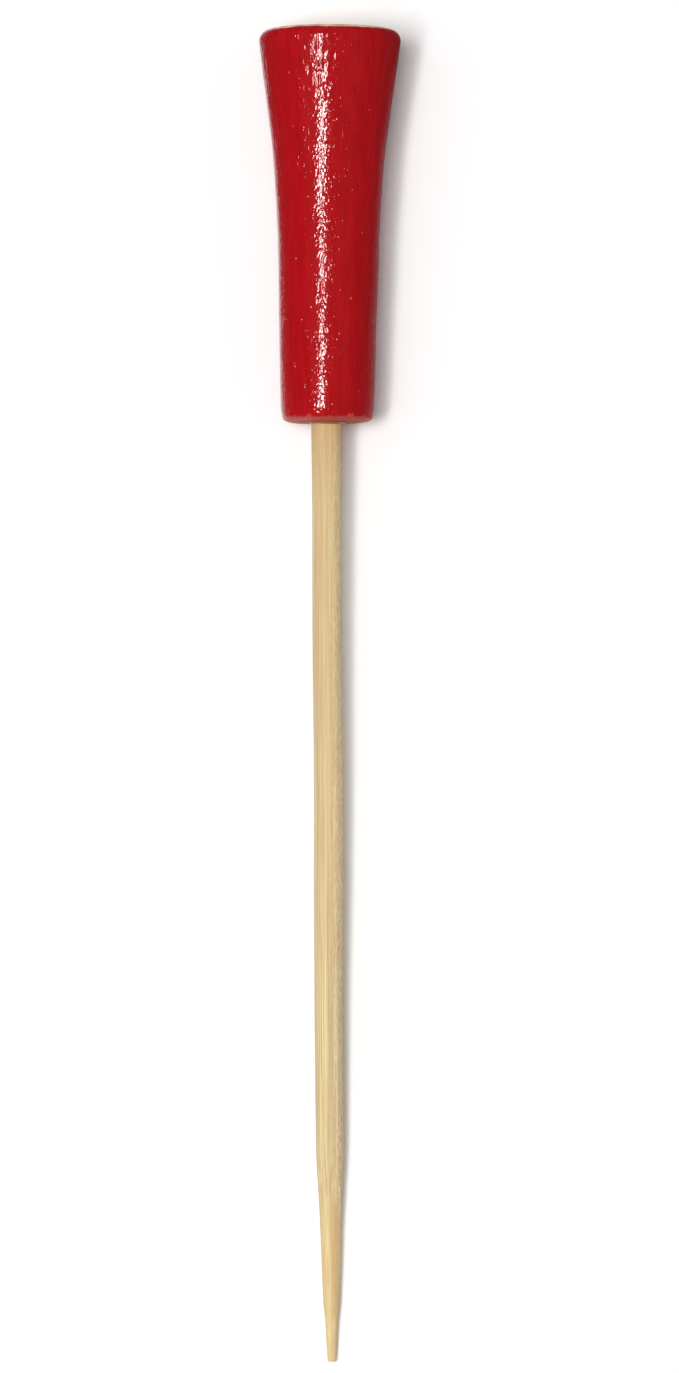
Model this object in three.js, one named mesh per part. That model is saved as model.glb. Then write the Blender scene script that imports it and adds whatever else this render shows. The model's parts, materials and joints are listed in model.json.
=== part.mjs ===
// Party food pick with a head like a golf tee: a turned wooden head glued on a sharpened bamboo stick.
// Millimetres, +Z up. The pick lies on a table along Y, on the lip of its head and on its point,
// with the head towards +Y. The origin is on the table, under the middle of the pick.
import * as THREE from "three";

// The whole pick.
const pickLength = 115; // from the blunt tip to the end face of the head

// The head: a barrel that opens into a flare, with a rounded lip at the end face.
const headLength = 34.05; // with the dome of its base
const rimDiameter = 12.55; // across the corner of flare and end face, before the lip is rounded
const lipRound = 0.9;
const flareLength = 13.1; // from the end face to where the flare meets the barrel
const neckDiameter = 9; // where the flare meets the barrel
const neckRound = 110; // radius of the long curve that joins them
const baseDiameter = 8.05;
const baseRound = 0.6;
const baseDome = 0.13; // how far the middle of the base stands out past its edge

// The stick: a round bamboo skewer, pushed into a blind hole in the base of the head.
const stickDiameter = 2.6;
const shoulderDiameter = 2.5; // where the point starts
const shoulderRound = 60;
const pointLength = 18.2;
const noseLength = 5; // the last part of the point, which is steeper
const noseDiameter = 1.42;
const noseRound = 12;
const tipDiameter = 0.72;
const tipRound = 0.12;
const seatLength = 16; // of stick inside the head
const cutEdgeRound = 0.2; // at the stick's cut end

// The glue: a film between the stick and the drilled hole, which swells out in a bead at the base.
const glueThickness = 0.25;
const glueUnderEnd = 0.4; // between the stick's cut end and the shoulder of the hole
const drillAngle = THREE.MathUtils.degToRad(118);
const beadWidth = 0.3; // out over the base, from the film's inner face
const beadHeight = 0.22; // along the stick
const beadHollow = 0.35; // 0 is a sunken bead, 0.5 a straight one
const fitGap = 0.03; // left between the faces of two pieces

// Facets of the round forms.
const turns = 60;
const arcSteps = 6;
const roundShare = 0.45; // of the shorter edge at a corner, the most that its round takes up

// Where things are along the pick, with the tip at zero.
const basePlane = pickLength - headLength;
const cutEndPlane = basePlane + seatLength;
const holeShoulderPlane = cutEndPlane + glueUnderEnd;
const holeRadius = stickDiameter / 2 + glueThickness;

const lacquer = new THREE.MeshStandardMaterial({ color: "#b3161b", roughness: 0.25, metalness: 0 });
const bamboo = new THREE.MeshStandardMaterial({ color: "#d6b883", roughness: 0.6, metalness: 0 });
const driedGlue = new THREE.MeshStandardMaterial({ color: "#c98d5a", roughness: 0.35, metalness: 0 });

// A corner of an outline: its distance from the axis, its place along it, and the radius that rounds it.
function corner(radius, along, round = 0) {
  return { at: new THREE.Vector2(radius, along), round };
}

// Points of the arc that rounds a corner and touches both of its edges.
function roundedCorner(before, here, after) {
  const toBefore = before.at.clone().sub(here.at);
  const toAfter = after.at.clone().sub(here.at);
  const room = Math.min(toBefore.length(), toAfter.length()) * roundShare;
  const halfAngle = toBefore.angleTo(toAfter) / 2;
  const tangent = Math.min(here.round / Math.tan(halfAngle), room);
  const radius = tangent * Math.tan(halfAngle);
  const start = here.at.clone().add(toBefore.setLength(tangent));
  const end = here.at.clone().add(toAfter.setLength(tangent));
  const inward = toBefore.add(toAfter).setLength(Math.hypot(tangent, radius));
  const centre = here.at.clone().add(inward);
  const from = start.sub(centre);
  const to = end.sub(centre);
  const clockwise = from.cross(to) < 0;
  const arc = new THREE.EllipseCurve(
    centre.x,
    centre.y,
    radius,
    radius,
    from.angle(),
    to.angle(),
    clockwise,
  );
  return arc.getPoints(arcSteps);
}

// Points of the outline through a list of corners, which starts and ends on the axis.
function roundedOutline(corners) {
  return corners.flatMap((here, i) =>
    here.round > 0 ? roundedCorner(corners[i - 1], here, corners[i + 1]) : [here.at],
  );
}

// A solid turned about the pick's axis, with one of its facets facing the table.
function turned(name, outline, material) {
  const geometry = new THREE.LatheGeometry(outline, turns, Math.PI / turns);
  const mesh = new THREE.Mesh(geometry, material);
  mesh.name = name;
  return mesh;
}

// Corners of the head: up the outside from its base, across the end face, and back down to the axis.
// The hole comes first: its drilled cone, its wall and its mouth.
function headOutline() {
  return roundedOutline([
    corner(0, holeShoulderPlane + holeRadius / Math.tan(drillAngle / 2)),
    corner(holeRadius, holeShoulderPlane),
    corner(holeRadius, basePlane),
    corner(baseDiameter / 2, basePlane + baseDome, baseRound),
    corner(neckDiameter / 2, pickLength - flareLength, neckRound),
    corner(rimDiameter / 2, pickLength, lipRound),
    corner(0, pickLength),
  ]);
}

// Corners of the stick, from the tip to its cut end inside the head.
function stickOutline() {
  return roundedOutline([
    corner(0, 0),
    corner(tipDiameter / 2, 0, tipRound),
    corner(noseDiameter / 2, noseLength, noseRound),
    corner(shoulderDiameter / 2, pointLength, shoulderRound),
    corner(stickDiameter / 2, cutEndPlane, cutEdgeRound),
    corner(0, cutEndPlane),
  ]);
}

// Outline of the glue: over the stick's cut end, down its side, round the bead, and up the wall of the hole.
function glueOutline() {
  const inner = stickDiameter / 2 + fitGap;
  const outer = holeRadius - fitGap;
  const beadTop = basePlane - fitGap;
  const hollow = new THREE.QuadraticBezierCurve(
    new THREE.Vector2(inner, basePlane - beadHeight),
    new THREE.Vector2(inner + beadWidth * beadHollow, beadTop - beadHeight * beadHollow),
    new THREE.Vector2(inner + beadWidth, beadTop),
  );
  return [
    new THREE.Vector2(0, cutEndPlane + fitGap),
    new THREE.Vector2(inner, cutEndPlane + fitGap),
    ...hollow.getPoints(arcSteps),
    new THREE.Vector2(outer, beadTop),
    new THREE.Vector2(outer, holeShoulderPlane - fitGap),
    new THREE.Vector2(0, holeShoulderPlane - fitGap + outer / Math.tan(drillAngle / 2)),
  ];
}

// Slope of the table line that touches the stick near its tip and the head at its lip.
function restingTilt(head, stick) {
  const facetDepth = Math.cos(Math.PI / turns);
  const outside = stick.filter((point) => point.y < basePlane);
  const steepest = (low) =>
    Math.max(...head.map((high) => Math.atan2((high.x - low.x) * facetDepth, high.y - low.y)));
  return Math.min(...outside.map(steepest));
}

// The pick laid on the table, with the origin under the middle of its box.
function laidDown(pieces, tilt) {
  const pick = new THREE.Group();
  pick.add(...pieces);
  pick.rotation.x = tilt;
  const part = new THREE.Group();
  part.add(pick);
  part.updateMatrixWorld(true);
  const box = new THREE.Box3().setFromObject(part, true);
  const centre = box.getCenter(new THREE.Vector3());
  part.position.set(-centre.x, -centre.y, -box.min.z);
  return part;
}

const head = headOutline();
const stick = stickOutline();
const pieces = [
  turned("tee_head", head, lacquer),
  turned("bamboo_stick", stick, bamboo),
  turned("glue_bead", glueOutline(), driedGlue),
];

export default laidDown(pieces, restingTilt(head, stick));
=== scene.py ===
"""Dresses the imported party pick: a turned head in red gloss lacquer, glued on a sharpened bamboo stick.

Sizes are in millimetres along and across the pick, and become metres where meshes are placed in the frame.
"""
import json
import logging
import math
from abc import ABC, abstractmethod
from dataclasses import dataclass
from enum import Enum
from functools import partial
from typing import Any, Callable, Mapping, Sequence

import bpy
import numpy as np
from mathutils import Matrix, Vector


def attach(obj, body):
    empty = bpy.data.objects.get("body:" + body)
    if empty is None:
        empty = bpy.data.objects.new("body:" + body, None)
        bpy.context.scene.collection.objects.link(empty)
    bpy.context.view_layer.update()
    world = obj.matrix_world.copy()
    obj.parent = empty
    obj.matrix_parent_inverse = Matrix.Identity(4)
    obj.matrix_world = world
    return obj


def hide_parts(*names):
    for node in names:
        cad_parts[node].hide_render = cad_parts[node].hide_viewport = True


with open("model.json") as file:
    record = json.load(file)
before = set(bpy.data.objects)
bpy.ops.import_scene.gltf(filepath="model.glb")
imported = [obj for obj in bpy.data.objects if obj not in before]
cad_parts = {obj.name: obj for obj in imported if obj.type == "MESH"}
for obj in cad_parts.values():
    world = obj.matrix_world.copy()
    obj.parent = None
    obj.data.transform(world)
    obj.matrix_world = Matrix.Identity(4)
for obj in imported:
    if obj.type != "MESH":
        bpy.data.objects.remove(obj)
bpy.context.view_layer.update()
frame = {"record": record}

log = logging.getLogger("party_pick")

MM = 0.001  # metres in a millimetre

PICK_LENGTH = 115.0  # mm, from the blunt tip to the end face of the head
SEAT_LENGTH = 16.0  # mm of stick inside the head
DRILL_ANGLE = 118.0  # degrees across the point of the drill that bored the hole
FIT_GAP = 0.03  # mm left between the faces of two pieces

SHARE, UNDER, OVER = 0, 6, 7  # places of a colour mix's inputs: its blend and its two colours

Relief = Callable[[np.ndarray], np.ndarray]
Faces = list[tuple[int, ...]]  # for each face, its corners' places in the list of points
Source = bpy.types.Node | bpy.types.NodeSocket  # what can feed an input of a node


class Slot(Enum):
    """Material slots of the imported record."""

    LACQUER = "red_lacquer"
    BAMBOO = "bamboo"
    GLUE = "dried_glue"


class Node(Enum):
    """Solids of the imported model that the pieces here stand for."""

    HEAD = "tee_head"
    STICK = "bamboo_stick"
    GLUE = "glue_bead"


def linear(hex_colour: str) -> tuple[float, float, float, float]:
    """Turns an sRGB colour into the linear one that shaders take.

    Args:
        hex_colour: Colour as "#RRGGBB".

    Returns:
        Linear red, green and blue, and an alpha of one.
    """
    channels = [int(hex_colour[i : i + 2], 16) / 255 for i in (1, 3, 5)]
    red, green, blue = (c / 12.92 if c <= 0.04045 else ((c + 0.055) / 1.055) ** 2.4 for c in channels)
    return red, green, blue, 1.0


def add_node(
    tree: bpy.types.NodeTree,
    kind: str,
    inputs: Mapping[str | int, Any] | None = None,
    **settings: Any,
) -> bpy.types.Node:
    """Adds a node to a tree, with its settings and links.

    Args:
        tree: The tree that takes the node.
        kind: Name of the node's type.
        inputs: For each input, by name or place, its value, or the socket or node that feeds it.
            A node feeds it from the first output that its settings leave in use.
        **settings: Properties of the node itself.

    Returns:
        The new node.
    """
    node = tree.nodes.new(kind)
    for name, value in settings.items():
        setattr(node, name, value)
    for key, value in (inputs or {}).items():
        if isinstance(value, bpy.types.Node):
            value = next(output for output in value.outputs if output.enabled)
        if isinstance(value, bpy.types.NodeSocket):
            tree.links.new(value, node.inputs[key])
        else:
            node.inputs[key].default_value = value
    return node


def empty_tree(owner: bpy.types.Material | bpy.types.World) -> bpy.types.NodeTree:
    """Gives a material or a world a node tree with nothing in it.

    Args:
        owner: The material or world.

    Returns:
        Its node tree.
    """
    owner.use_nodes = True
    owner.node_tree.nodes.clear()
    return owner.node_tree


def add_mesh(name: str, points: np.ndarray, faces: Faces) -> bpy.types.Object:
    """Adds an object with a mesh of its own.

    Args:
        name: Name of the object.
        points: Rows of x, y and z, in metres.
        faces: The faces over the points.

    Returns:
        The new object, in the scene.
    """
    mesh = bpy.data.meshes.new(name)
    mesh.from_pydata(points.tolist(), [], faces)
    mesh.update()
    piece = bpy.data.objects.new(name, mesh)
    bpy.context.scene.collection.objects.link(piece)
    return piece


@dataclass(frozen=True)
class PickAxes:
    """The pick's own axes: across it, along it from the tip, and up out of it.

    Attributes:
        end: Middle of the head's end face in the frame, in mm.
        axis: Unit vector from the tip towards the end face.
        length: Length of the pick in mm.
    """

    end: np.ndarray
    axis: np.ndarray
    length: float

    @classmethod
    def from_record(cls, record: Mapping[str, Any], length: float) -> "PickAxes":
        """Reads the axes from the mount on the head's end face.

        Args:
            record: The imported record.
            length: Length of the pick in mm.

        Returns:
            The pick's axes.
        """
        mount = record["mounts"][0]
        axis = np.array(mount["axis"])
        return cls(np.array(mount["pos_m"]) / MM, axis / np.linalg.norm(axis), length)

    @property
    def tilt(self) -> float:
        """Angle of the pick's axis above the table, in radians."""
        return math.asin(self.axis[2])

    @property
    def up(self) -> np.ndarray:
        """Unit vector square to the pick, pointing away from the table."""
        return np.array([0.0, -self.axis[2], self.axis[1]])

    def place(self, points: np.ndarray) -> np.ndarray:
        """Places points of the pick in the frame, none of them below the table.

        Args:
            points: Rows of across, along and up, in mm.

        Returns:
            Rows of x, y and z, in metres.
        """
        across, along, up = points.T
        placed = self.end + np.outer(along - self.length, self.axis) + np.outer(up, self.up)
        placed[:, 0] += across
        placed[:, 2] = np.maximum(placed[:, 2], 0.0)
        return placed * MM


@dataclass(frozen=True)
class Corner:
    """A corner of a turned outline.

    Attributes:
        radius: Distance from the axis in mm.
        along: Place along the pick in mm.
        round: Radius that rounds the corner, in mm.
    """

    radius: float
    along: float
    round: float = 0.0


def rounded_outline(corners: Sequence[Corner], step: float, arc_step: float) -> np.ndarray:
    """Joins corners by straight lines and arcs, divided finely enough to be shaped further.

    Args:
        corners: The outline's corners, of which the first and last are not rounded.
        step: Longest stretch between two points on a straight line, in mm.
        arc_step: Longest stretch between two points on an arc, in mm.

    Returns:
        Rows of radius and place along the pick, in mm.
    """
    at = [np.array([c.radius, c.along]) for c in corners]
    bends = [at[0][None, :]]
    for before, here, after, corner in zip(at, at[1:], at[2:], corners[1:]):
        if corner.round == 0:
            bends.append(here[None, :])
            continue
        back = (before - here) / np.linalg.norm(before - here)
        ahead = (after - here) / np.linalg.norm(after - here)
        half = math.acos(float(np.clip(back @ ahead, -1, 1))) / 2
        middle = (back + ahead) / np.linalg.norm(back + ahead)
        centre = here + middle * corner.round / math.sin(half)
        turn = math.pi / 2 - half
        count = max(2, math.ceil(2 * turn * corner.round / arc_step))
        side = (ahead - back) / np.linalg.norm(ahead - back)
        angles = np.linspace(-turn, turn, count + 1)[:, None]
        bends.append(centre + corner.round * (np.sin(angles) * side - np.cos(angles) * middle))
    bends.append(at[-1][None, :])
    rows = [bends[0]]
    for bend in bends[1:]:
        start = rows[-1][-1]
        count = max(1, math.ceil(float(np.linalg.norm(bend[0] - start)) / step))
        share = np.linspace(0, 1, count + 1)[1:-1, None]
        rows.append(start + (bend[0] - start) * share)
        rows.append(bend)
    return np.vstack(rows)


def outward(outline: np.ndarray) -> np.ndarray:
    """Finds the direction out of the solid at each point of an outline.

    Args:
        outline: Rows of radius and place along, in the order that keeps the solid on the left.

    Returns:
        A unit vector for each row.
    """
    tangent = np.gradient(outline, axis=0)
    normal = np.column_stack([tangent[:, 1], -tangent[:, 0]])
    return normal / np.maximum(np.linalg.norm(normal, axis=1, keepdims=True), 1e-9)


@dataclass(frozen=True)
class Waves:
    """A smooth random surface: waves of about one length, added in random directions.

    Attributes:
        height: Usual height of the surface in mm.
        across: Length of a wave across the pick in mm.
        along: Length of a wave along the pick in mm.
        seed: Seed of the random directions.
        count: Number of waves.
    """

    height: float
    across: float
    along: float
    seed: int
    count: int = 48

    def __call__(self, points: np.ndarray) -> np.ndarray:
        """Gives the height of the surface.

        Args:
            points: Rows of across, along and up, in mm.

        Returns:
            The height at each point, in mm.
        """
        draw = np.random.default_rng(self.seed)
        heading = draw.normal(size=(self.count, 3))
        heading /= np.linalg.norm(heading, axis=1, keepdims=True)
        pace = draw.uniform(0.7, 1.5, size=(self.count, 1))
        scale = 2 * math.pi / np.array([self.across, self.along, self.across])
        phase = draw.uniform(0, 2 * math.pi, size=self.count)
        total = np.zeros(len(points))
        for k, shift in zip(heading * pace * scale, phase):
            total += np.sin(points @ k + shift)
        return total * self.height * math.sqrt(2 / self.count)


def turned_mesh(
    name: str,
    axes: PickAxes,
    outline: np.ndarray,
    turns: int,
    relief: Relief,
    shift: Relief,
) -> bpy.types.Object:
    """Turns an outline about the pick's axis into one closed mesh.

    Args:
        name: Name of the new object.
        axes: Where the pick lies.
        outline: Rows of radius and place along, which start and end on the axis.
        turns: Number of facets round the axis.
        relief: Gives how far each point stands out of the turned form, in mm.
        shift: Gives how far the piece's middle lies to the side at each place along, in mm.

    Returns:
        The new object, in the frame.
    """
    rings = outline[1:-1]
    normal = outward(outline)[1:-1]
    angle = np.linspace(0, 2 * math.pi, turns, endpoint=False)
    circle = np.column_stack([np.sin(angle), np.zeros(turns), np.cos(angle)])
    points = rings[:, None, :1] * circle[None, :, :]
    points[:, :, 1] = rings[:, 1:]
    direction = normal[:, None, :1] * circle[None, :, :]
    direction[:, :, 1] = normal[:, 1:]
    points = points.reshape(-1, 3)
    points += direction.reshape(-1, 3) * relief(points)[:, None]
    poles = np.array([[0.0, outline[0, 1], 0.0], [0.0, outline[-1, 1], 0.0]])
    points = np.vstack([points, poles])
    points[:, 0] += shift(points[:, 1])

    grid = np.arange(len(rings) * turns).reshape(len(rings), turns)
    following = np.roll(grid, -1, axis=1)
    quads = np.stack([grid[:-1], grid[1:], following[1:], following[:-1]], axis=-1).reshape(-1, 4)
    first, last = len(points) - 2, len(points) - 1
    faces = [tuple(q) for q in quads.tolist()]
    faces += [(first, int(a), int(b)) for a, b in zip(grid[0], following[0])]
    faces += [(last, int(b), int(a)) for a, b in zip(grid[-1], following[-1])]

    piece = add_mesh(name, axes.place(points), faces)
    piece.data.shade_smooth()
    return piece


def fit(piece: bpy.types.Object, node: Node | None) -> None:
    """Attaches a piece to the pick's body, and hides the solid that it stands for.

    Args:
        piece: The piece.
        node: The solid that it stands for, if any.
    """
    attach(piece, "root")
    if node is not None:
        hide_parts(node.value)


class Finish(ABC):
    """A finish with patterns laid out in millimetres along the pick."""

    name: str

    def make(self, axes: PickAxes) -> bpy.types.Material:
        """Makes the material.

        Args:
            axes: Where the pick lies.

        Returns:
            The new material.
        """
        material = bpy.data.materials.new(self.name)
        tree = empty_tree(material)
        place = add_node(tree, "ShaderNodeTexCoord")
        offset = (0.0, axes.length - float(axes.end @ axes.axis), -float(axes.end @ axes.up))
        spot = add_node(
            tree,
            "ShaderNodeMapping",
            {
                "Vector": place.outputs["Object"],
                "Location": offset,
                "Rotation": (-axes.tilt, 0.0, 0.0),
                "Scale": (1 / MM, 1 / MM, 1 / MM),
            },
        )
        add_node(tree, "ShaderNodeOutputMaterial", {"Surface": self.paint(tree, spot)})
        return material

    @abstractmethod
    def paint(self, tree: bpy.types.NodeTree, spot: Source) -> Source:
        """Adds the finish's own nodes and returns its shader.

        Args:
            tree: The material's tree.
            spot: Across, along and up at the shaded spot, in mm.

        Returns:
            The shader of the surface.
        """

    @staticmethod
    def pattern(
        tree: bpy.types.NodeTree,
        spot: Source,
        across: float,
        along: float,
        detail: float = 2.0,
        roughness: float = 0.5,
    ) -> Source:
        """Lays a random pattern, stretched along the pick.

        Args:
            tree: The material's tree.
            spot: Across, along and up at the shaded spot, in mm.
            across: How often the pattern changes in each mm across the pick.
            along: How often it changes in each mm along the pick.
            detail: How many finer patterns lie inside it.
            roughness: How strong each of those is beside the one before.

        Returns:
            The pattern, from zero to one.
        """
        at = add_node(tree, "ShaderNodeMapping", {"Vector": spot, "Scale": (across, along, across)})
        marks = {"Vector": at, "Scale": 1.0, "Detail": detail, "Roughness": roughness}
        return add_node(tree, "ShaderNodeTexNoise", marks)


@dataclass(frozen=True)
class SprayedLacquer(Finish):
    """Turned birch under sprayed red gloss lacquer: wet shine, broken up by grain that shows through.

    Attributes:
        paint_end: Place along the pick where the paint stops, in mm.
        base_plane: Place along the pick of the head's base, in mm.
    """

    paint_end: float
    base_plane: float
    name: str = "sprayed_red_gloss_lacquer_on_turned_birch"

    def paint(self, tree: bpy.types.NodeTree, spot: Source) -> Source:
        """Paints the lacquer, and the bare wood past its edge.

        Args:
            tree: The material's tree.
            spot: Across, along and up at the shaded spot, in mm.

        Returns:
            The shader of the surface.
        """
        add = partial(add_node, tree)
        pattern = partial(self.pattern, tree, spot)
        parts = add("ShaderNodeSeparateXYZ", {"Vector": spot})

        # Grain of the wood: lines 0.5 mm apart and 4 mm long, which darken the red a little
        grain = pattern(across=2.0, along=0.25, detail=3.0, roughness=0.6)
        grain_tone = add("ShaderNodeMapRange", {"Value": grain, "From Min": 0.35, "From Max": 0.65})
        red = add(
            "ShaderNodeMix",
            {SHARE: grain_tone, UNDER: linear("#B31218"), OVER: linear("#A60F15")},
            data_type="RGBA",
        )

        # Bare end grain past a wavy paint edge: arcs of growth rings 1.5 mm apart, centred off the head
        pith = add("ShaderNodeMapping", {"Vector": spot, "Location": (13.0, 0.0, 9.0)})
        rings = add(
            "ShaderNodeTexWave",
            {"Vector": pith, "Scale": 0.21, "Distortion": 3.0, "Detail": 3.0, "Detail Scale": 0.4},
            wave_type="RINGS",
            rings_direction="Y",
        )
        wood = add(
            "ShaderNodeMix",
            {SHARE: rings.outputs["Fac"], UNDER: linear("#F3CDA9"), OVER: linear("#DDAA80")},
            data_type="RGBA",
        )
        wobble = add("ShaderNodeTexNoise", {"Vector": spot, "Scale": 0.5, "Detail": 3.0})
        edge = add("ShaderNodeMath", {0: wobble, 1: 0.24, 2: parts.outputs["Y"]}, operation="MULTIPLY_ADD")
        bare = add(
            "ShaderNodeMapRange",
            {"Value": edge, "From Min": self.paint_end + 0.1, "From Max": self.paint_end + 0.14},
        )
        painted = add("ShaderNodeMix", {SHARE: bare, UNDER: red, OVER: wood}, data_type="RGBA")

        # The spray hardly reaches the base: a thin coat there, with dry overspray in paler pink spots 0.2
        # mm across; the pale spots are partly real overspray and partly painted highlights on the base
        smears = pattern(across=1.0, along=0.4)
        smear = add(
            "ShaderNodeMapRange", {"Value": smears, "From Min": 0.5, "From Max": 0.8, "To Max": 0.5}
        )
        base_edge = add("ShaderNodeMath", {0: edge, 1: smear}, operation="SUBTRACT")
        dusty = add(
            "ShaderNodeMapRange",
            {"Value": base_edge, "From Min": self.base_plane + 0.5, "From Max": self.base_plane + 0.15},
        )
        overspray_and_sheen_spots = pattern(across=4.5, along=4.5, roughness=0.7)
        overspray_and_sheen_tone = add("ShaderNodeMapRange", {"Value": overspray_and_sheen_spots, "From Min": 0.5, "From Max": 0.72})
        overspray_and_sheen_red = add(
            "ShaderNodeMix",
            {SHARE: overspray_and_sheen_tone, UNDER: linear("#C62A22"), OVER: linear("#D86C62")},
            data_type="RGBA",
        )
        # Glue wiped off round the stick stains the middle of the base orange-brown
        from_stick = add(
            "ShaderNodeMapping", {"Vector": spot, "Location": (0.2, 0.0, 0.0), "Scale": (1.0, 0.0, 1.0)}
        )
        reach = add("ShaderNodeVectorMath", {0: from_stick}, operation="LENGTH")
        wiped = add("ShaderNodeMapRange", {"Value": reach, "From Min": 3.8, "From Max": 1.8, "To Max": 0.7})
        stained = add(
            "ShaderNodeMix", {SHARE: wiped, UNDER: overspray_and_sheen_red, OVER: linear("#B45228")}, data_type="RGBA"
        )
        based = add("ShaderNodeMix", {SHARE: dusty, UNDER: painted, OVER: stained}, data_type="RGBA")

        # Dust that settled in the wet film: grains at most 0.2 mm across, painted pale pink, which is
        # partly their own colour and partly a painted glint on each grain
        dust = add("ShaderNodeTexVoronoi", {"Vector": spot, "Scale": 1.05})
        draw = add("ShaderNodeSeparateXYZ", {"Vector": dust.outputs["Color"]})
        grain_size = add(
            "ShaderNodeMapRange",
            {"Value": draw.outputs["X"], "From Min": 0.3, "From Max": 1.0, "To Min": 0.03, "To Max": 0.13},
        )
        dust_and_glint_share = add(
            "ShaderNodeMapRange",
            {
                "Value": dust.outputs["Distance"],
                "From Min": 0.02,
                "From Max": grain_size,
                "To Min": 0.65,
                "To Max": 0.0,
            },
        )
        colour = add(
            "ShaderNodeMix", {SHARE: dust_and_glint_share, UNDER: based, OVER: linear("#EDB0A8")}, data_type="RGBA"
        )

        # Orange peel of the film: low mounds 0.4 mm wide and 1 mm long, in patches, stronger on the flare
        patches = add("ShaderNodeTexNoise", {"Vector": spot, "Scale": 0.4, "Detail": 1.0})
        patch = add(
            "ShaderNodeMapRange",
            {"Value": patches, "From Min": 0.4, "From Max": 0.65, "To Min": 0.006, "To Max": 0.035},
        )
        flare = add(
            "ShaderNodeMapRange",
            {"Value": parts.outputs["Y"], "From Min": self.paint_end - 8, "From Max": self.paint_end - 4},
        )
        peel_height = add("ShaderNodeMath", {0: flare, 1: 0.08, 2: patch}, operation="MULTIPLY_ADD")
        peel = pattern(across=2.6, along=1.0, detail=1.0, roughness=0.4)
        peel_relief = add("ShaderNodeMath", {0: peel, 1: peel_height}, operation="MULTIPLY")

        # Raised fibres under the film: scattered ridges 0.3 mm wide and 0.6 mm long, 0.03 mm high
        ridge = pattern(across=3.4, along=1.7, detail=1.0)
        ridge_relief = add(
            "ShaderNodeMapRange", {"Value": ridge, "From Min": 0.62, "From Max": 0.8, "To Max": 0.03}
        )

        # Pores of the wood that show through the film: 0.2 mm apart, filled on the flare
        pore_height = add("ShaderNodeMapRange", {"Value": flare, "To Min": 0.028, "To Max": 0.014})
        pores = pattern(across=5.0, along=3.4, detail=0.0)
        film_relief = add(
            "ShaderNodeMath", {0: pores, 1: pore_height, 2: peel_relief}, operation="MULTIPLY_ADD"
        )
        ridged_relief = add("ShaderNodeMath", {0: film_relief, 1: ridge_relief}, operation="ADD")
        relief = add("ShaderNodeMath", {0: dust_and_glint_share, 1: 0.03, 2: ridged_relief}, operation="MULTIPLY_ADD")
        bump = add("ShaderNodeBump", {"Height": relief, "Distance": MM})
        unpolished = add("ShaderNodeMath", {0: bare, 1: dusty}, operation="MAXIMUM")
        rough = add("ShaderNodeMapRange", {"Value": unpolished, "To Min": 0.1, "To Max": 0.75})
        return add(
            "ShaderNodeBsdfPrincipled",
            {"Base Color": colour, "Roughness": rough, "IOR": 1.58, "Normal": bump},
        )


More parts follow.
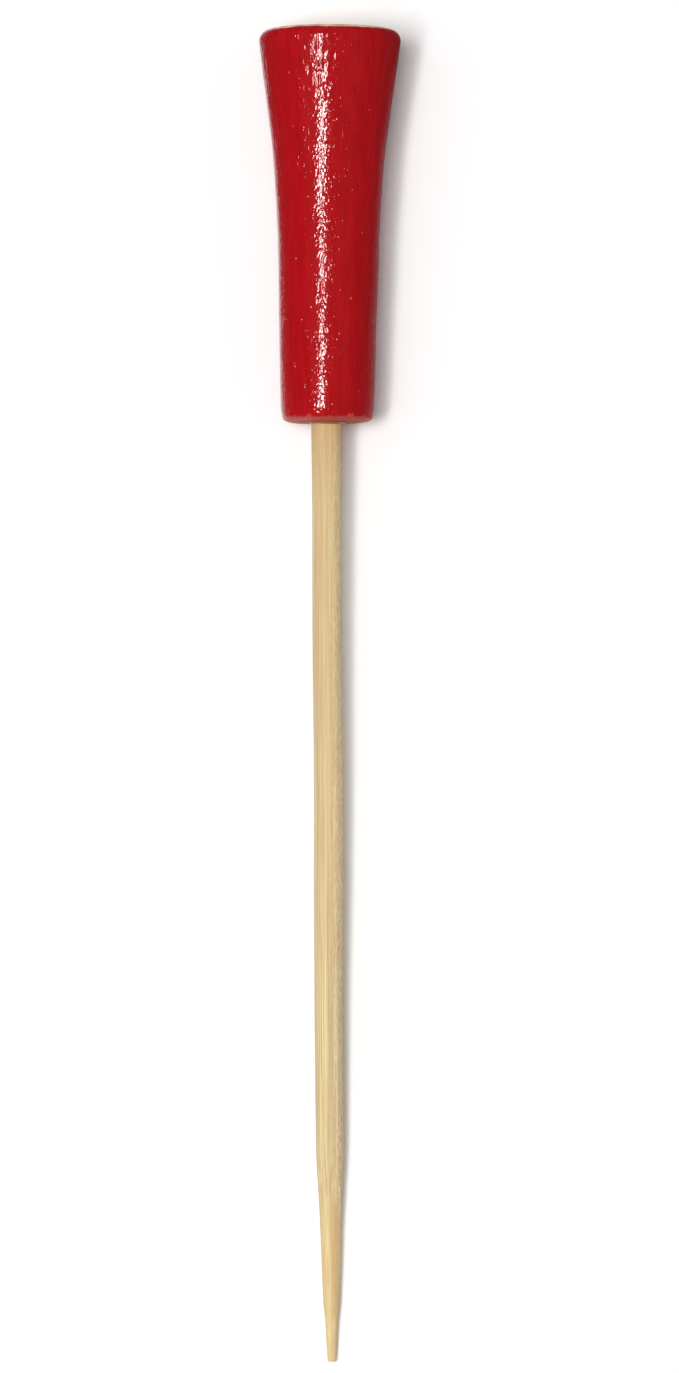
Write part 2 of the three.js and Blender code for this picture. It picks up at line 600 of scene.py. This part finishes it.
@dataclass(frozen=True)
class SplitBamboo(Finish):
    """Bamboo split, turned round and left bare: pale straw with fine fibres along the stick.

    Attributes:
        base_plane: Place along the pick where the stick enters the head, in mm.
        point_length: Length of the sharpened point, in mm.
    """

    base_plane: float
    point_length: float
    name: str = "split_and_rounded_bamboo"

    def strand(
        self,
        tree: bpy.types.NodeTree,
        across: Source,
        centre: float,
        half_width: float,
        share: Source,
    ) -> Source:
        """Lays one long strand of fibres along the stick.

        Args:
            tree: The material's tree.
            across: Place across the stick in mm, with the fibres' own wander in it.
            centre: Middle of the strand across the stick, in mm.
            half_width: From its middle to where it has faded out, in mm.
            share: How much of the strand shows at each place.

        Returns:
            The strand's part of the colour.
        """
        core = half_width * 0.3  # where it shows in full
        offset = add_node(tree, "ShaderNodeMath", {0: across, 1: -centre}, operation="ADD")
        away = add_node(tree, "ShaderNodeMath", {0: offset}, operation="ABSOLUTE")
        body = add_node(
            tree, "ShaderNodeMapRange", {"Value": away, "From Min": half_width, "From Max": core}
        )
        return add_node(tree, "ShaderNodeMath", {0: body, 1: share}, operation="MULTIPLY")

    def paint(self, tree: bpy.types.NodeTree, spot: Source) -> Source:
        """Paints the fibres, the cut point, the torn side and a darker stretch below the head.

        Args:
            tree: The material's tree.
            spot: Across, along and up at the shaded spot, in mm.

        Returns:
            The shader of the surface.
        """
        add = partial(add_node, tree)
        pattern = partial(self.pattern, tree, spot)
        parts = add("ShaderNodeSeparateXYZ", {"Vector": spot})

        # Bundles of fibres 0.3 mm wide and 40 mm long, straw to tan
        bundle = pattern(across=3.2, along=0.025, roughness=0.6)
        bundle_tone = add("ShaderNodeMapRange", {"Value": bundle, "From Min": 0.32, "From Max": 0.68})
        straw = add(
            "ShaderNodeMix",
            {SHARE: bundle_tone, UNDER: linear("#EADAA6"), OVER: linear("#D6B78E")},
            data_type="RGBA",
        )

        # Single fibres 0.1 mm wide and 8 mm long, darker and a little raised
        fibre = pattern(across=9.0, along=0.12)
        fibre_tone = add(
            "ShaderNodeMapRange", {"Value": fibre, "From Min": 0.42, "From Max": 0.62, "To Max": 0.75}
        )

        # The point is cut through the richer wood inside: honey yellow, with darker vascular strands
        cut = add(
            "ShaderNodeMapRange",
            {
                "Value": parts.outputs["Y"],
                "From Min": self.point_length - 2,
                "From Max": self.point_length - 7,
                "To Max": 0.5,
            },
            interpolation_type="SMOOTHSTEP",
        )
        sway = pattern(across=4.5, along=0.06, detail=1.0)
        across = add("ShaderNodeMath", {0: sway, 1: 0.3, 2: parts.outputs["X"]}, operation="MULTIPLY_ADD")
        above_tip = add(
            "ShaderNodeMapRange",
            {"Value": parts.outputs["Y"], "From Min": 2.5, "From Max": 6.0, "To Max": 1.1},
        )
        brown_share = add("ShaderNodeMath", {0: above_tip, 1: cut}, operation="MULTIPLY")
        brown = self.strand(tree, across, 0.6, 0.3, brown_share)

        # A pale yellow strand in stretches along the top of the stick: partly a real fibre, partly painted
        # sheen along the lit top
        stretch = pattern(across=5.12, along=0.04)
        pale_and_sheen_share = add(
            "ShaderNodeMapRange", {"Value": stretch, "From Min": 0.4, "From Max": 0.6, "To Max": 0.5}
        )
        pale_strand_and_sheen = self.strand(tree, across, -0.02, 0.42, pale_and_sheen_share)

        # One side is torn, as far as the sharpening: fibres 0.1 mm wide and 0.6 mm long, with gaps between
        torn_side = add("ShaderNodeMapRange", {"Value": across, "From Min": 0.0, "From Max": 0.95})
        unsharpened = add(
            "ShaderNodeMapRange",
            {
                "Value": parts.outputs["Y"],
                "From Min": self.point_length - 6,
                "From Max": self.point_length - 2,
                "To Min": 0.25,
                "To Max": 1.0,
            },
        )
        torn = add("ShaderNodeMath", {0: torn_side, 1: unsharpened}, operation="MULTIPLY")
        loose = pattern(across=14.0, along=1.7, roughness=0.6)
        gap_tone = add("ShaderNodeMapRange", {"Value": loose, "From Min": 0.36, "From Max": 0.64})
        loose_colour = add(
            "ShaderNodeMix",
            {SHARE: gap_tone, UNDER: linear("#F8E6C0"), OVER: linear("#C29F72")},
            data_type="RGBA",
        )
        torn_share = add("ShaderNodeMath", {0: torn, 1: 0.55}, operation="MULTIPLY")

        # The last 7 mm of stick below the head are painted darker
        darker_below_head = add(
            "ShaderNodeMapRange",
            {
                "Value": parts.outputs["Y"],
                "From Min": self.base_plane - 7,
                "From Max": self.base_plane,
                "To Max": 0.55,
            },
        )

        # Each of these colours lies over the ones before it
        colour = straw
        for share, over in (
            (fibre_tone, linear("#CCA974")),
            (cut, linear("#E9CC92")),
            (brown, linear("#D29A58")),
            (pale_strand_and_sheen, linear("#EFD89C")),
            (torn_share, loose_colour),
            (darker_below_head, linear("#C3A06E")),
        ):
            colour = add("ShaderNodeMix", {SHARE: share, UNDER: colour, OVER: over}, data_type="RGBA")

        # Relief: fibres 0.015 mm high, gaps of the torn side 0.015 mm deep
        fibre_height = add("ShaderNodeMath", {0: fibre, 1: 0.03}, operation="MULTIPLY")
        gaps = add("ShaderNodeMath", {0: gap_tone, 1: torn}, operation="MULTIPLY")
        relief = add("ShaderNodeMath", {0: gaps, 1: -0.015, 2: fibre_height}, operation="MULTIPLY_ADD")
        bump = add("ShaderNodeBump", {"Height": relief, "Distance": MM})
        return add(
            "ShaderNodeBsdfPrincipled",
            {
                "Base Color": colour,
                "Roughness": 0.55,
                "IOR": 1.5,
                "Specular IOR Level": 0.35,
                "Normal": bump,
            },
        )


@dataclass(frozen=True)
class TornBambooFibre(Finish):
    """Bamboo fibres freshly torn off: paler and drier than the skin of the stick."""

    name: str = "freshly_torn_bamboo_fibre"

    def paint(self, tree: bpy.types.NodeTree, spot: Source) -> Source:
        """Paints fine streaks along the fibres, 0.1 mm wide.

        Args:
            tree: The material's tree.
            spot: Across, along and up at the shaded spot, in mm.

        Returns:
            The shader of the surface.
        """
        streak = self.pattern(tree, spot, across=10.0, along=0.5)
        colour = add_node(
            tree,
            "ShaderNodeMix",
            {SHARE: streak, UNDER: linear("#FBEFCB"), OVER: linear("#E3C893")},
            data_type="RGBA",
        )
        return add_node(
            tree, "ShaderNodeBsdfPrincipled", {"Base Color": colour, "Roughness": 0.65, "IOR": 1.5}
        )


@dataclass(frozen=True)
class DriedWoodGlue(Finish):
    """Wood glue squeezed out and dried: amber, half clear and a little shiny."""

    name: str = "dried_wood_glue"

    def paint(self, tree: bpy.types.NodeTree, spot: Source) -> Source:
        """Paints the glue, darker where it is thick.

        Args:
            tree: The material's tree.
            spot: Across, along and up at the shaded spot, in mm.

        Returns:
            The shader of the surface.
        """
        cloud = add_node(tree, "ShaderNodeTexNoise", {"Vector": spot, "Scale": 1.5, "Detail": 3.0})
        colour = add_node(
            tree,
            "ShaderNodeMix",
            {SHARE: cloud, UNDER: linear("#BE7346"), OVER: linear("#934F2B")},
            data_type="RGBA",
        )
        return add_node(
            tree, "ShaderNodeBsdfPrincipled", {"Base Color": colour, "Roughness": 0.35, "IOR": 1.48}
        )


@dataclass(frozen=True)
class TeeHead:
    """The turned head: a barrel that opens into a flare, drilled for the stick.

    Attributes:
        axes: Where the pick lies.
        length: Length of the head in mm.
        lip_radius: Radius at the corner of flare and end face, before it is rounded.
        saw_gap: How far short of the full length the end face is sawn.
        lip_round: Radius that rounds the lip.
        flare_length: From the end face to the neck.
        neck_radius: Radius where flare and barrel meet.
        neck_round: Radius of the long curve that joins them.
        base_radius: Radius of the base before it is rounded.
        base_round: Radius that rounds the base.
        base_dome: How far the middle of the base stands out past its edge.
        hole_radius: Radius of the drilled hole.
        hole_depth: Depth of the hole to its shoulder.
        bare_lip: Width of the unpainted strip along the pick at the lip.
        worn_base: Stretch above the base over which sanding has thinned the barrel.
        base_wear: How far the barrel is thinned at the base.
        worn_round: Radius of the curve that leads into the thinned stretch.
        lean: How far the base lies to the side of the lip, because the head is glued a little askew.
        even_end: Stretch next to the end face over which the unevenness fades out.
        inward_end: Stretch next to the end face where nothing stands out of the turned form.
        turns: Facets round the head.
    """

    axes: PickAxes
    length: float = 34.05
    lip_radius: float = 6.25
    saw_gap: float = 0.07
    lip_round: float = 0.9
    flare_length: float = 13.1
    neck_radius: float = 4.5
    neck_round: float = 110.0
    base_radius: float = 4.025
    base_round: float = 0.45
    base_dome: float = 0.13
    hole_radius: float = 1.55
    hole_depth: float = 16.4
    bare_lip: float = 0.27
    worn_base: float = 0.95
    base_wear: float = 0.2
    worn_round: float = 3.0
    lean: float = -0.22
    even_end: float = 0.5
    inward_end: float = 3.0
    turns: int = 240

    @property
    def base_plane(self) -> float:
        """Place of the base along the pick, in mm."""
        return self.axes.length - self.length

    def outline(self) -> np.ndarray:
        """Draws the head's outline from the bottom of its hole, round the outside, to the end face.

        Returns:
            Rows of radius and place along the pick, in mm.
        """
        end = self.axes.length - self.saw_gap
        shoulder = self.base_plane + self.hole_depth
        drill_point = self.hole_radius / math.tan(math.radians(DRILL_ANGLE / 2))
        bore = [
            Corner(0, shoulder + drill_point),
            Corner(self.hole_radius, shoulder),
            Corner(self.hole_radius, self.base_plane),
        ]
        edge = self.base_plane + self.base_dome
        skin = [
            Corner(self.hole_radius, self.base_plane),
            Corner(self.base_radius - self.base_wear, edge, self.base_round),
            Corner(self.base_radius, edge + self.worn_base, self.worn_round),
            Corner(self.neck_radius, end - self.flare_length, self.neck_round),
            Corner(self.lip_radius, end, self.lip_round),
            Corner(0, end),
        ]
        rough = rounded_outline(bore, step=1.0, arc_step=1.0)
        fine = rounded_outline(skin, step=0.14, arc_step=0.1)
        return np.vstack([rough[:-1], fine])

    def relief(self, points: np.ndarray) -> np.ndarray:
        """Gives the uneven surface of the painted wood, which only goes inwards near the lip.

        Args:
            points: Rows of across, along and up, in mm.

        Returns:
            How far each point stands out of the turned form, in mm.
        """
        swell = Waves(height=0.02, across=5.0, along=9.0, seed=3)(points)
        ripple = Waves(height=0.003, across=1.1, along=2.2, seed=5)(points)
        radius = np.hypot(points[:, 0], points[:, 2])
        outside = np.clip(radius - self.hole_radius, 0, 1)
        from_end = self.axes.length - points[:, 1]
        faded = np.clip(from_end / self.even_end, 0, 1)
        near_lip = np.clip((self.inward_end - from_end) / 2, 0, 1)
        uneven = swell + ripple
        return outside * faded * (uneven - near_lip * np.maximum(uneven, 0))

    def shift(self, along: np.ndarray) -> np.ndarray:
        """Gives how far the head's middle lies to the side, in mm."""
        return self.lean * (self.axes.length - along) / self.length

    def build(self) -> bpy.types.Object:
        """Builds the head's mesh."""
        return turned_mesh(
            "lacquered_head", self.axes, self.outline(), self.turns, self.relief, self.shift
        )

    def dress(self, piece: bpy.types.Object) -> None:
        """Gives the head its lacquer."""
        finish = SprayedLacquer(paint_end=self.axes.length - self.bare_lip, base_plane=self.base_plane)
        piece.data.materials.append(finish.make(self.axes))


@dataclass(frozen=True)
class BambooStick:
    """The bamboo stick, from its blunt tip to its cut end inside the head.

    Attributes:
        axes: Where the pick lies.
        base_plane: Place along the pick where the stick enters the head, in mm.
        seat_plane: Place along the pick of the stick's cut end.
        radius: Radius of the stick inside the head.
        shoulder_radius: Radius where the point starts.
        point_length: Length of the sharpened point.
        nose_length: Length of its steeper last part.
        nose_radius: Radius where the nose starts.
        tip_radius: Radius of the blunt tip.
        tip_round: Radius that rounds the edge of the tip.
        nose_round: Radius of the curve that leads into the nose.
        shoulder_round: Radius of the curve that leads into the point.
        cut_edge_round: Radius that rounds the edge of the cut end.
        flat_bearing: Angle from the stick's top to the middle of the flat planed along it, in degrees.
        flat_width: Angle that the flat takes up, in degrees.
        turns: Facets round the stick.
    """

    axes: PickAxes
    base_plane: float
    seat_plane: float
    radius: float = 1.3
    shoulder_radius: float = 1.25
    point_length: float = 18.2
    nose_length: float = 5.0
    nose_radius: float = 0.71
    tip_radius: float = 0.36
    tip_round: float = 0.12
    nose_round: float = 12.0
    shoulder_round: float = 60.0
    cut_edge_round: float = 0.2
    flat_bearing: float = 13.0
    flat_width: float = 40.0
    turns: int = 96

    def outline(self) -> np.ndarray:
        """Draws the stick's outline from the tip to the cut end.

        Returns:
            Rows of radius and place along the pick, in mm.
        """
        corners = [
            Corner(0, 0),
            Corner(self.tip_radius, 0, self.tip_round),
            Corner(self.nose_radius, self.nose_length, self.nose_round),
            Corner(self.shoulder_radius, self.point_length, self.shoulder_round),
            Corner(self.radius, self.seat_plane, self.cut_edge_round),
            Corner(0, self.seat_plane),
        ]
        return rounded_outline(corners, step=0.22, arc_step=0.1)

    def relief(self, points: np.ndarray) -> np.ndarray:
        """Gives the uneven thickness of the stick, its planed flat and its fibres.

        Args:
            points: Rows of across, along and up, in mm.

        Returns:
            How far each point stands out of the turned form, in mm.
        """
        along = points[:, 1]
        radius = np.hypot(points[:, 0], points[:, 2])
        places = [0, 3.5, 5, 8, 12.3, 15.3, 16.4, 24, 33, 42, 50, 58, 72, 76, 79.5, 82, 84]
        thicker = [
            *[0, -0.065, -0.015, -0.04, -0.075, -0.05, -0.02, -0.02, 0],
            *[0.035, 0.02, -0.01, -0.01, 0.01, 0.055, 0.04, 0],
        ]
        uneven = np.interp(along, places, thicker)
        swell = Waves(height=0.006, across=6.0, along=16.0, seed=11)(points)
        fibre = Waves(height=0.004, across=0.5, along=30.0, seed=12)(points)

        bearing = np.arctan2(points[:, 0], points[:, 2]) - math.radians(self.flat_bearing)
        half_width = math.radians(self.flat_width / 2)
        flat = radius * (1 - math.cos(half_width) / np.maximum(np.cos(bearing), math.cos(half_width)))
        off_axis = np.clip(radius / 0.6, 0, 1)  # leaves the middles of the tip and the cut end alone
        return off_axis * (uneven + swell + fibre) - flat

    def shift(self, along: np.ndarray) -> np.ndarray:
        """Gives the stick's slight bends, from places listed along it.

        Args:
            along: Places along the pick, in mm.

        Returns:
            How far the stick's middle lies to the side at each place, in mm.
        """
        places = [0, 14, 34, 50, 62, 100]
        sideways = [0.18, 0.05, -0.09, -0.07, -0.25, -0.25]
        nearby = [np.interp(along + step, places, sideways) for step in np.linspace(-5, 5, 11)]
        return np.mean(nearby, axis=0)

    def skin(self, bearing: float, along: np.ndarray) -> np.ndarray:
        """Finds the stick's surface along one bearing.

        Args:
            bearing: Angle from the stick's top, in radians.
            along: Places along the pick, in mm.

        Returns:
            Rows of across, along and up, in mm.
        """
        outline = self.outline()
        radius = np.interp(along, outline[:, 1], outline[:, 0])
        out = np.array([math.sin(bearing), 0.0, math.cos(bearing)])
        points = radius[:, None] * out
        points[:, 1] = along
        points += self.relief(points)[:, None] * out
        points[:, 0] += self.shift(along)
        return points

    def build(self) -> bpy.types.Object:
        """Builds the stick's mesh."""
        return turned_mesh(
            "split_bamboo_stick", self.axes, self.outline(), self.turns, self.relief, self.shift
        )

    def dress(self, piece: bpy.types.Object) -> None:
        """Gives the stick its bamboo."""
        finish = SplitBamboo(base_plane=self.base_plane, point_length=self.point_length)
        piece.data.materials.append(finish.make(self.axes))


@dataclass(frozen=True)
class Sliver:
    """A fibre that has split off the stick but still hangs on at its root.

    Attributes:
        along: Place of the root along the pick, in mm.
        bearing: Angle from the stick's top to the root, in degrees.
        length: Length in mm, towards the head if positive and towards the tip if negative.
        width: Width at the root in mm.
        lift: How far the free end stands off the stick, in mm.
    """

    along: float
    bearing: float
    length: float
    width: float
    lift: float


@dataclass(frozen=True)
class FrayedFibres:
    """Slivers on the torn side of the stick, left where it was split and sharpened.

    Attributes:
        stick: The stick that the slivers hang on.
        slivers: The slivers, at listed places.
        thickness: Thickness of a sliver at its root, in mm.
        sunk: How deep its root lies in the stick, in mm.
        curl: How late it lifts off the stick, from 1 for a straight sliver up.
        bluntness: How late it narrows, from 1 for an even taper down.
        steps: Number of stretches along a sliver.
    """

    stick: BambooStick
    slivers: tuple[Sliver, ...] = (
        Sliver(along=15.3, bearing=46, length=-1.4, width=0.24, lift=0.28),
        Sliver(along=13.9, bearing=50, length=-2.0, width=0.13, lift=0.05),
        Sliver(along=16.9, bearing=58, length=1.0, width=0.12, lift=0.06),
        Sliver(along=31.5, bearing=66, length=1.2, width=0.12, lift=0.06),
        Sliver(along=49.0, bearing=52, length=1.4, width=0.12, lift=0.05),
        Sliver(along=66.5, bearing=48, length=1.8, width=0.12, lift=0.05),
        Sliver(along=76.4, bearing=60, length=1.3, width=0.12, lift=0.06),
    )
    thickness: float = 0.07
    sunk: float = 0.04
    curl: float = 1.6
    bluntness: float = 0.7
    steps: int = 10

    def shape(self, sliver: Sliver) -> tuple[np.ndarray, Faces]:
        """Shapes one sliver as a closed strip that tapers to a point.

        Args:
            sliver: The sliver.

        Returns:
            Rows of across, along and up in mm, and the faces over them.
        """
        share = np.linspace(0, 1, self.steps + 1)
        along = sliver.along + sliver.length * share
        bearing = math.radians(sliver.bearing)
        out = np.array([math.sin(bearing), 0.0, math.cos(bearing)])
        side = np.array([math.cos(bearing), 0.0, -math.sin(bearing)])
        foot = self.stick.skin(bearing, along)
        middle = foot + np.outer(sliver.lift * share**self.curl - self.sunk * (1 - share), out)
        half_width = side * sliver.width / 2
        half_thickness = out * self.thickness / 2
        taper = (1 - share[:-1, None]) ** self.bluntness
        rings = np.stack(
            [
                middle[:-1] + taper * half_width,
                middle[:-1] + taper * half_thickness,
                middle[:-1] - taper * half_width,
                middle[:-1] - taper * half_thickness,
            ],
            axis=1,
        )
        points = np.vstack([rings.reshape(-1, 3), middle[-1:]])
        faces: Faces = [(3, 2, 1, 0)]
        for ring in range(self.steps - 1):
            low, high = 4 * ring, 4 * ring + 4
            faces += [(low + i, low + (i + 1) % 4, high + (i + 1) % 4, high + i) for i in range(4)]
        last, point = 4 * (self.steps - 1), len(points) - 1
        faces += [(last + i, last + (i + 1) % 4, point) for i in range(4)]
        if sliver.length > 0:
            faces = [tuple(reversed(face)) for face in faces]
        return points, faces

    def build(self) -> bpy.types.Object:
        """Builds all the slivers as one mesh.

        Returns:
            The new object, in the frame.
        """
        points: list[np.ndarray] = []
        faces: Faces = []
        for sliver in self.slivers:
            first = sum(len(rows) for rows in points)
            rows, strip = self.shape(sliver)
            points.append(rows)
            faces += [tuple(first + corner for corner in face) for face in strip]
        piece = add_mesh("frayed_bamboo_fibres", self.stick.axes.place(np.vstack(points)), faces)
        piece.data.shade_smooth()
        return piece

    def dress(self, piece: bpy.types.Object) -> None:
        """Gives the slivers their torn bamboo."""
        piece.data.materials.append(TornBambooFibre().make(self.stick.axes))


@dataclass(frozen=True)
class GlueRing:
    """The dried glue round the seated stick, with a thin bead at the base.

    Attributes:
        axes: Where the pick lies.
        base_plane: Place along the pick of the head's base, in mm.
        seat_plane: Place along the pick of the stick's cut end.
        lean: How far the base of the head lies to the side.
        inner: Radius of the glue's inner face.
        outer: Radius of its outer face.
        under_end: Thickness of the glue past the stick's cut end.
        bead_width: Width of the bead over the base.
        bead_height: Height of the bead along the stick.
        bead_bulge: Place of the corner that the bead's curve bends towards, out from the stick.
        bead_depth: Place of the same corner, down from the base.
        turns: Facets round the ring.
    """

    axes: PickAxes
    base_plane: float
    seat_plane: float
    lean: float
    inner: float = 1.33
    outer: float = 1.52
    under_end: float = 0.34
    bead_width: float = 0.3
    bead_height: float = 0.22
    bead_bulge: float = 0.1
    bead_depth: float = 0.08
    turns: int = 120

    def outline(self) -> np.ndarray:
        """Draws the glue's outline from the stick's cut end, round the bead, to the hole's cone.

        Returns:
            Rows of radius and place along the pick, in mm.
        """
        share = np.linspace(0, 1, 9)[:, None]
        start = np.array([self.inner, self.base_plane - self.bead_height])
        stop = np.array([self.inner + self.bead_width, self.base_plane - FIT_GAP])
        hollow = np.array([start[0] + self.bead_bulge, stop[1] - self.bead_depth])
        bead = (1 - share) ** 2 * start + 2 * share * (1 - share) * hollow + share**2 * stop
        top = self.seat_plane + FIT_GAP
        cone = self.outer / math.tan(math.radians(DRILL_ANGLE / 2))
        past = [
            [self.outer, self.base_plane - FIT_GAP],
            [self.outer, top + self.under_end],
            [0, top + self.under_end + cone],
        ]
        return np.vstack([[[0, top], [self.inner, top]], bead, past])

    def relief(self, points: np.ndarray) -> np.ndarray:
        """Gives the bead's uneven squeeze-out, which starts 0.02 mm off the base."""
        outside = np.clip((self.base_plane - 0.02 - points[:, 1]) / 0.05, 0, 1)
        return outside * Waves(height=0.02, across=1.6, along=1.6, seed=21)(points)

    def shift(self, along: np.ndarray) -> np.ndarray:
        """Keeps the glue round the middle of the leaning base."""
        return np.full_like(along, self.lean)

    def build(self) -> bpy.types.Object:
        """Builds the glue's mesh."""
        return turned_mesh(
            "dried_glue_ring", self.axes, self.outline(), self.turns, self.relief, self.shift
        )

    def dress(self, piece: bpy.types.Object) -> None:
        """Gives the glue its finish."""
        piece.data.materials.append(DriedWoodGlue().make(self.axes))


@dataclass(frozen=True)
class Lamp:
    """A round lamp, far away above the table.

    Attributes:
        name: Name of the lamp.
        left: Angle of the lamp to the left of straight up, in degrees.
        towards_tip: Angle of the lamp towards the pick's tip, in degrees.
        width: Width of the lamp as the pick sees it, in degrees.
        share: Part of the light on the table that comes from this lamp.
        in_gloss: Whether glossy surfaces mirror it.
    """

    name: str
    left: float
    towards_tip: float
    width: float
    share: float
    in_gloss: bool

    def build(self) -> None:
        """Builds the lamp."""
        sideways = math.tan(math.radians(self.left))
        lengthways = math.tan(math.radians(self.towards_tip))
        towards = Vector((-sideways, -lengthways, 1.0)).normalized()
        data = bpy.data.lights.new(self.name, "SUN")
        data.energy = self.share * math.pi / towards.z
        data.angle = math.radians(self.width)
        lamp = bpy.data.objects.new(self.name, data)
        lamp.rotation_euler = towards.to_track_quat("Z", "Y").to_euler()
        lamp.location = towards
        lamp.visible_glossy = self.in_gloss
        bpy.context.scene.collection.objects.link(lamp)


@dataclass(frozen=True)
class Studio:
    """A white table under soft lamps and an even pale surround, and the camera above it.

    Attributes:
        lamps: A slanted strip of three lamps that the lacquer mirrors, and wide ones for the soft shadow.
        card_foot: Where the cards that keep the lacquer's flanks deep stand, across the pick in mm.
        card_top: Where the upper edges of those cards are, across the pick in mm.
        card_height: Height of those cards in mm.
        camera_distance: From the camera to the point it aims at, in mm.
        camera_elevation: Angle of the camera above the table, in degrees.
        field: Length of table that the photograph's long side takes in, in mm.
        aim: Point that the camera aims at, in mm.
    """

    lamps: tuple[Lamp, ...] = (
        Lamp("near_lamp", left=13.2, towards_tip=1.5, width=8.4, share=0.112, in_gloss=True),
        Lamp("middle_lamp", left=16.0, towards_tip=8.5, width=8.4, share=0.112, in_gloss=True),
        Lamp("far_lamp", left=18.8, towards_tip=15.5, width=8.4, share=0.112, in_gloss=True),
        Lamp("soft_lamp", left=6.5, towards_tip=5.0, width=25.0, share=0.42, in_gloss=False),
        Lamp("side_lamp", left=31.0, towards_tip=0.0, width=38.0, share=0.08, in_gloss=False),
        Lamp("overhead_panel", left=0.0, towards_tip=0.0, width=130.0, share=0.14, in_gloss=False),
    )
    card_foot: tuple[float, float] = (-8.5, 5.0)
    card_top: tuple[float, float] = (-10.0, 10.0)
    card_height: float = 16.0
    camera_distance: float = 1000.0
    camera_elevation: float = 84.2
    field: float = 118.4
    aim: tuple[float, float, float] = (0.83, 0.5, 3.3)

    def build(self) -> None:
        """Builds the table, the lights and the camera."""
        self.add_table()
        self.add_cards()
        for lamp in self.lamps:
            lamp.build()
        self.add_surround()
        self.add_camera()
        bpy.context.scene.view_settings.view_transform = "Standard"

    def add_table(self) -> None:
        """Adds the white table, which runs past the edge of every view."""
        reach = 30.0  # metres from its middle to each edge
        corners = np.array([(-1, -1, 0), (1, -1, 0), (1, 1, 0), (-1, 1, 0)]) * reach
        table = add_mesh("white_table", corners, [(0, 1, 2, 3)])
        material = bpy.data.materials.new("matt_white_table")
        table.data.materials.append(material)
        tree = empty_tree(material)
        add = partial(add_node, tree)
        path = add("ShaderNodeLightPath")
        mirrored = add(
            "ShaderNodeMath",
            {0: path.outputs["Is Glossy Ray"], 1: path.outputs["Is Transmission Ray"]},
            operation="MAXIMUM",
        )
        seen = add("ShaderNodeMath", {0: path.outputs["Is Camera Ray"], 1: mirrored}, operation="MAXIMUM")
        white = add(
            "ShaderNodeMix",
            {SHARE: seen, UNDER: linear("#F6F8FA"), OVER: linear("#FDFDFD")},
            data_type="RGBA",
        )
        matt = add("ShaderNodeBsdfDiffuse", {"Color": white})
        add("ShaderNodeOutputMaterial", {"Surface": matt})

    def add_cards(self) -> None:
        """Adds a card on each side of the pick, paler at its foot, which only glossy surfaces see."""
        material = bpy.data.materials.new("grey_card")
        tree = empty_tree(material)
        add = partial(add_node, tree)
        place = add("ShaderNodeTexCoord")
        parts = add("ShaderNodeSeparateXYZ", {"Vector": place.outputs["Object"]})
        pale_foot = add(
            "ShaderNodeMapRange", {"Value": parts.outputs["Z"], "From Min": 6 * MM, "From Max": 3 * MM}
        )
        grey = add(
            "ShaderNodeMix",
            {SHARE: pale_foot, UNDER: linear("#4A3C42"), OVER: linear("#BDB0B6")},
            data_type="RGBA",
        )
        matt = add("ShaderNodeBsdfDiffuse", {"Color": grey})
        add("ShaderNodeOutputMaterial", {"Surface": matt})
        reach = 100.0  # mm from the middle of the table to each end of a card
        top = self.card_height
        for low, high in zip(self.card_foot, self.card_top):
            corners = [(low, -reach, 0), (low, reach, 0), (high, reach, top), (high, -reach, top)]
            card = add_mesh("side_card", np.array(corners) * MM, [(0, 1, 2, 3)])
            card.data.materials.append(material)
            card.visible_camera = card.visible_diffuse = card.visible_shadow = False

    def add_surround(self) -> None:
        """Adds the surround: white walls low down, and a dimmer room above."""
        world = bpy.data.worlds.new("pale_room")
        bpy.context.scene.world = world
        tree = empty_tree(world)
        add = partial(add_node, tree)
        place = add("ShaderNodeTexCoord")
        parts = add("ShaderNodeSeparateXYZ", {"Vector": place.outputs["Generated"]})
        walls = add(
            "ShaderNodeMapRange",
            {
                "Value": parts.outputs["Z"],
                "From Min": 0.01,
                "From Max": 0.05,
                "To Min": 1.0,
                "To Max": 0.08,
            },
            interpolation_type="SMOOTHSTEP",
        )
        ceiling = add(
            "ShaderNodeMapRange",
            {"Value": parts.outputs["Z"], "From Min": 0.5, "From Max": 1.0, "To Max": -0.03},
        )
        level = add("ShaderNodeMath", {0: walls, 1: ceiling}, operation="ADD")
        white = linear("#FFFFFF")
        light = add("ShaderNodeBackground", {"Color": white, "Strength": level})
        add("ShaderNodeOutputWorld", {"Surface": light})

    def add_camera(self) -> None:
        """Adds the camera where the photograph's was: almost straight above, a little to the tip's side."""
        elevation = math.radians(self.camera_elevation)
        back = Vector((0.0, -math.cos(elevation), math.sin(elevation)))
        data = bpy.data.cameras.new("camera")
        data.sensor_width = 36.0
        data.lens = data.sensor_width * self.camera_distance / self.field
        data.clip_start = 0.01
        data.clip_end = 100.0
        camera = bpy.data.objects.new("camera", data)
        camera.location = (Vector(self.aim) + back * self.camera_distance) * MM
        camera.rotation_euler = (-back).to_track_quat("-Z", "Y").to_euler()
        bpy.context.scene.collection.objects.link(camera)
        bpy.context.scene.camera = camera


def main() -> None:
    """Builds the studio and the pieces of the pick."""
    logging.basicConfig(level=logging.INFO, format="%(message)s")
    axes = PickAxes.from_record(frame["record"], PICK_LENGTH)
    Studio().build()

    head = TeeHead(axes)
    seat_plane = head.base_plane + SEAT_LENGTH
    stick = BambooStick(axes, head.base_plane, seat_plane)
    glue = GlueRing(axes, head.base_plane, seat_plane, head.lean)
    for part, node, slot in (
        (head, Node.HEAD, Slot.LACQUER),
        (stick, Node.STICK, Slot.BAMBOO),
        (FrayedFibres(stick), None, Slot.BAMBOO),
        (glue, Node.GLUE, Slot.GLUE),
    ):
        piece = part.build()
        part.dress(piece)
        fit(piece, node)
        solid = node.value if node else "nothing in the solids"
        log.info("%s: %d faces, stands for %s", piece.name, len(piece.data.polygons), solid)


if __name__ == "__main__":
    main()
